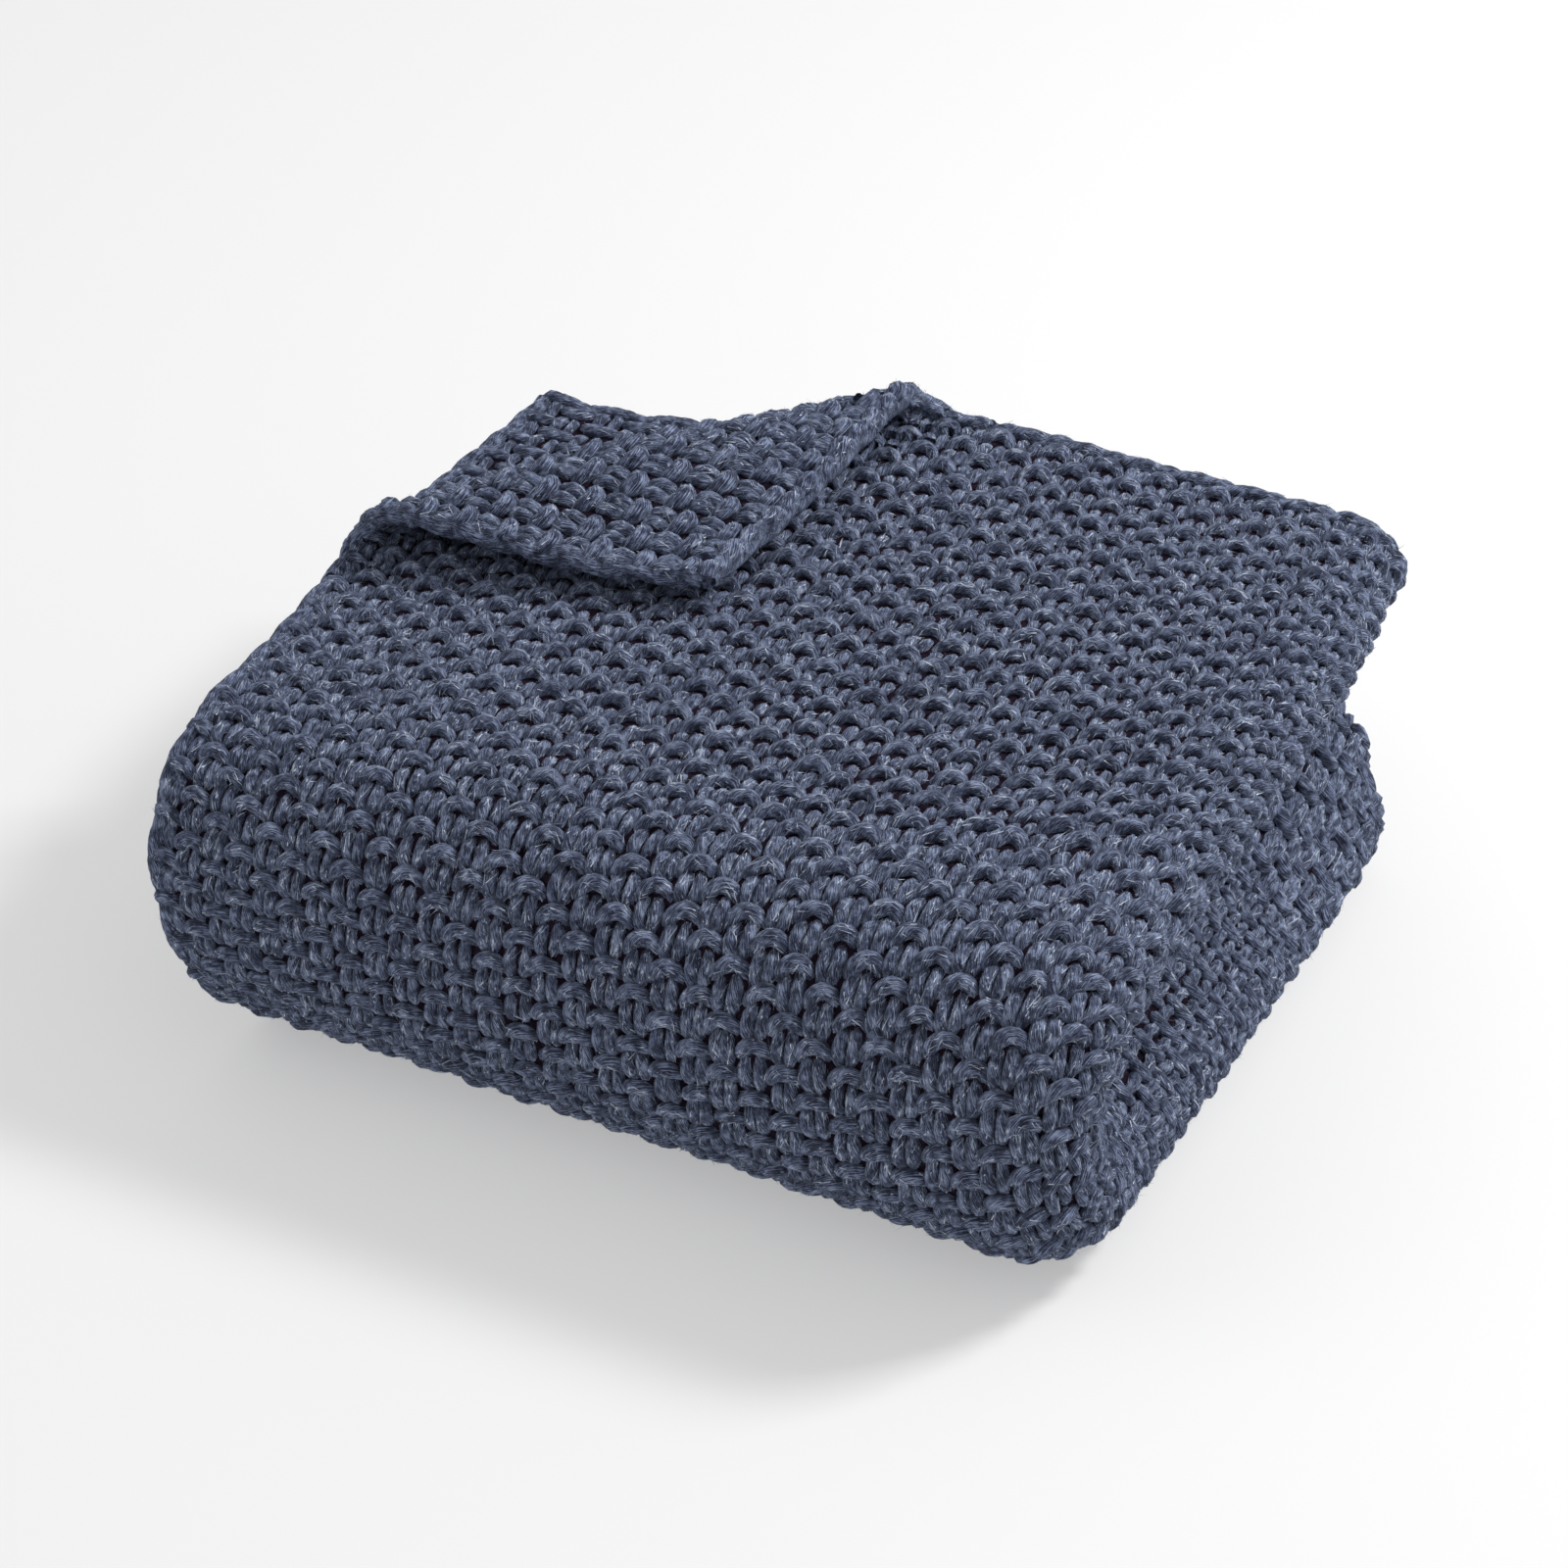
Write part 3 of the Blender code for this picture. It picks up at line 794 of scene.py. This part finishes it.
def yarn_material(name, tones):
    material, tree, shader = nodes_of(name)
    link = tree.links.new
    coords = tree.nodes.new("ShaderNodeTexCoord")
    split = tree.nodes.new("ShaderNodeSeparateXYZ")
    link(coords.outputs["UV"], split.inputs[0])
    twist = scaled(tree, split.outputs["X"], TWIST, split.outputs["Y"])
    fibre = tree.nodes.new("ShaderNodeCombineXYZ")
    link(scaled(tree, split.outputs["X"], STREAKS_ALONG), fibre.inputs["X"])
    link(scaled(tree, twist, STREAKS_ROUND), fibre.inputs["Y"])
    streak = noise(tree, 9.0, 4.0, fibre.outputs[0], 0.72)
    cloud = noise(tree, 260.0, 2.0, coords.outputs["Object"])
    colour_by(tree, shader, scaled(tree, cloud, CLOUD_SHARE, streak), tones)
    shader.inputs["Roughness"].default_value = 0.9
    shader.inputs["Specular IOR Level"].default_value = 0.15
    shader.inputs["Sheen Weight"].default_value = 0.25
    shader.inputs["Sheen Roughness"].default_value = 0.5
    shader.inputs["Sheen Tint"].default_value = (0.55, 0.66, 0.85, 1.0)
    bump_by(tree, shader, streak, 1.0, 0.0016)
    return material


def painted_gap_shade():
    """The sheet between the stitches, coloured near-black as painted shade: it stands for the yarn deep in
    the gaps, lying in shadow.
    """
    material, tree, shader = nodes_of("yarn_in_shade")
    coords = tree.nodes.new("ShaderNodeTexCoord")
    cloud = noise(tree, 300.0, 2.0, coords.outputs["Object"])
    colour_by(tree, shader, cloud, ((0.3, (0.006, 0.004, 0.007)), (0.7, (0.020, 0.013, 0.022))))
    shader.inputs["Roughness"].default_value = 1.0
    shader.inputs["Specular IOR Level"].default_value = 0.0
    return material


def underside_material():
    """The side that the throw lies on, where a checked bump stands in for the stitches."""
    material, tree, shader = nodes_of("yarn_pressed_flat")
    link = tree.links.new
    coords = tree.nodes.new("ShaderNodeTexCoord")
    scale = tree.nodes.new("ShaderNodeMapping")
    scale.inputs["Scale"].default_value = (1 / STITCH, 1 / ROW, 1.0)
    link(coords.outputs["UV"], scale.inputs["Vector"])
    checks = tree.nodes.new("ShaderNodeTexChecker")
    checks.inputs["Scale"].default_value = 1.0
    link(scale.outputs[0], checks.inputs["Vector"])
    cloud = noise(tree, 500.0, 4.0, coords.outputs["Object"], 0.7)
    colour_by(tree, shader, cloud, ((0.35, (0.020, 0.028, 0.050)), (0.65, (0.085, 0.125, 0.190))))
    shader.inputs["Roughness"].default_value = 0.92
    shader.inputs["Sheen Weight"].default_value = 0.3
    bump_by(tree, shader, checks.outputs["Fac"], 0.6, 0.002)
    return material


# Camera, floor and lights

def camera():
    turn = math.radians(VIEW_TURN)
    tip = math.radians(VIEW_TIP)
    forward = Vector((-math.sin(turn) * math.cos(tip), math.cos(turn) * math.cos(tip), -math.sin(tip)))
    data = bpy.data.cameras.new("camera")
    data.sensor_fit = "HORIZONTAL"
    data.sensor_width = SENSOR
    data.lens = SENSOR * FOCAL_PIXELS / FRAME_PIXELS
    data.clip_end = 50.0
    eye = bpy.data.objects.new("camera", data)
    eye.location = Vector(VIEW_TARGET) - forward * VIEW_DISTANCE
    eye.rotation_euler = forward.to_track_quat("-Z", "Y").to_euler()
    bpy.context.scene.collection.objects.link(eye)
    bpy.context.scene.camera = eye


def floor():
    mesh = bpy.data.meshes.new("floor")
    corners = [(x * FLOOR_REACH, y * FLOOR_REACH, 0) for x, y in ((-1, -1), (1, -1), (1, 1), (-1, 1))]
    mesh.from_pydata(corners, [], [(0, 1, 2, 3)])
    ground = bpy.data.objects.new("floor", mesh)
    ground.location.z = -FLOOR_DROP
    bpy.context.scene.collection.objects.link(ground)
    # The floor gives off a little light, so that the shadow on it stays pale
    material, _, shader = nodes_of("pale_floor")
    shader.inputs["Base Color"].default_value = (0.46, 0.46, 0.46, 1.0)
    shader.inputs["Emission Color"].default_value = (1.0, 1.0, 1.0, 1.0)
    shader.inputs["Emission Strength"].default_value = 0.38
    shader.inputs["Roughness"].default_value = 0.9
    mesh.materials.append(material)


def area_light(name, spot, size, power):
    data = bpy.data.lights.new(name, "AREA")
    data.shape = "SQUARE"
    data.size = size
    data.energy = power
    light = bpy.data.objects.new(name, data)
    light.location = spot
    light.rotation_euler = (Vector(LIGHT_AIM) - Vector(spot)).to_track_quat("-Z", "Y").to_euler()
    bpy.context.scene.collection.objects.link(light)


def lights():
    world = bpy.data.worlds.new("studio")
    world.use_nodes = True
    back = world.node_tree.nodes["Background"]
    back.inputs["Color"].default_value = (1.0, 1.0, 1.0, 1.0)
    back.inputs["Strength"].default_value = 0.62
    bpy.context.scene.world = world
    bpy.context.scene.view_settings.view_transform = "Standard"
    area_light("key", (1.15, 0.95, 1.65), 0.45, 40)
    area_light("fill", (-1.6, -1.2, 1.6), 1.6, 6)


def main():
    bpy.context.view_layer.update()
    yarn = yarn_material("slate_blue_yarn", YARN_TONES)
    # The loose fibres are real geometry, and their lighter colour is painted highlight
    loose_fibre = yarn_material("loose_fibres_painted_highlight", FIBRE_HIGHLIGHT_TONES)
    cloth = sheet(painted_gap_shade(), underside_material())
    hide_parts("knit_throw")
    dressing = knit(yarn, loose_fibre) + edges(yarn)
    camera()
    floor()
    lights()


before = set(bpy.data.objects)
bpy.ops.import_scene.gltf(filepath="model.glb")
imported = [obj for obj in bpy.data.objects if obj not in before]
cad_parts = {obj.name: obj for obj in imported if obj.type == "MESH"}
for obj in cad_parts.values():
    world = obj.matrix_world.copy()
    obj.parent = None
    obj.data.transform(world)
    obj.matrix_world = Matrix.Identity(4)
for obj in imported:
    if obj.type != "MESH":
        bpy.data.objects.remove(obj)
main()
